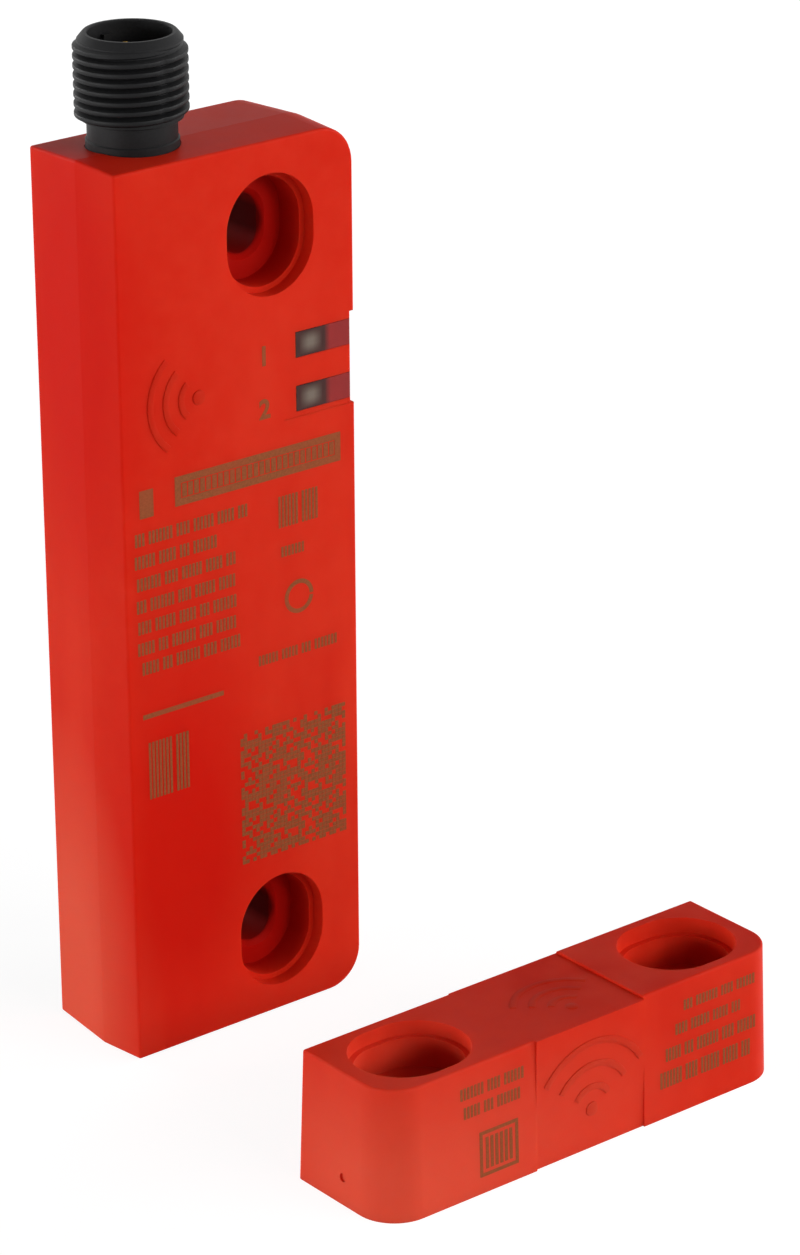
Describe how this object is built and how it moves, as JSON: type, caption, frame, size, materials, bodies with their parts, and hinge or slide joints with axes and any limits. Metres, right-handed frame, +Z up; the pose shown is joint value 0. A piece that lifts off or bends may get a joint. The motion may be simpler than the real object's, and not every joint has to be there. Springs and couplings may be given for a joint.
{
  "type": "rfid safety switch",
  "caption": "Upright sensor case with slotted fixing holes, side lamp windows and a threaded round plug on top, with its matching coded actuator block lying in front.",
  "frame": {"origin": "on the standing surface, in the middle of the pair's footprint", "axes": "+Z up along the read head, -Y the way its slot face looks, +X along the actuator"},
  "size_m": [0.055, 0.061, 0.1126],
  "materials": {
    "red_case": "satin moulded plastic",
    "smoked_window": "smoked clear plastic",
    "black_plug": "matt moulded plastic",
    "seal_rubber": "matt",
    "nut_brass": "turned",
    "board_green": "lacquered",
    "flex_amber": "film",
    "ferrite": "sintered",
    "spool_white": "moulded",
    "copper": "enamelled wire",
    "chip_black": "moulded",
    "capacitor_tan": "ceramic",
    "can_aluminium": "drawn",
    "lamp_white": "moulded",
    "soft_filling": "cast",
    "cast_seal": "cast",
    "contact_gold": "plated"
  },
  "bodies": {
    "root": {"reader_housing": "red_case", "light_guide_lower": "smoked_window", "light_guide_upper": "smoked_window", "connector_shell": "black_plug", "contact_insert": "black_plug", "connector_seal": "seal_rubber", "connector_nut": "nut_brass", "connector_board": "board_green", "flex_lead": "flex_amber", "circuit_board": "board_green", "antenna_core": "ferrite", "coil_bobbin": "spool_white", "antenna_coil": "copper", "led_lower": "lamp_white", "led_upper": "lamp_white", "contact_pin_1": "contact_gold", "contact_pin_2": "contact_gold", "contact_pin_3": "contact_gold", "contact_pin_4": "contact_gold", "contact_pin_5": "contact_gold", "contact_pin_6": "contact_gold", "contact_pin_7": "contact_gold", "contact_pin_8": "contact_gold", "controller_chip_a": "chip_black", "controller_chip_b": "chip_black", "output_driver_a": "chip_black", "output_driver_b": "chip_black", "reader_chip": "chip_black", "voltage_regulator": "chip_black", "quartz_crystal": "can_aluminium", "supply_capacitor": "can_aluminium", "reader_back_seal": "cast_seal", "reader_filling": "soft_filling", "actuator_housing": "red_case", "tag_board": "board_green", "tag_chip": "chip_black", "tag_capacitor": "capacitor_tan", "tag_core": "ferrite", "tag_bobbin": "spool_white", "tag_coil": "copper", "actuator_base_seal": "cast_seal", "actuator_filling": "soft_filling"}
  },
  "joints": []
}
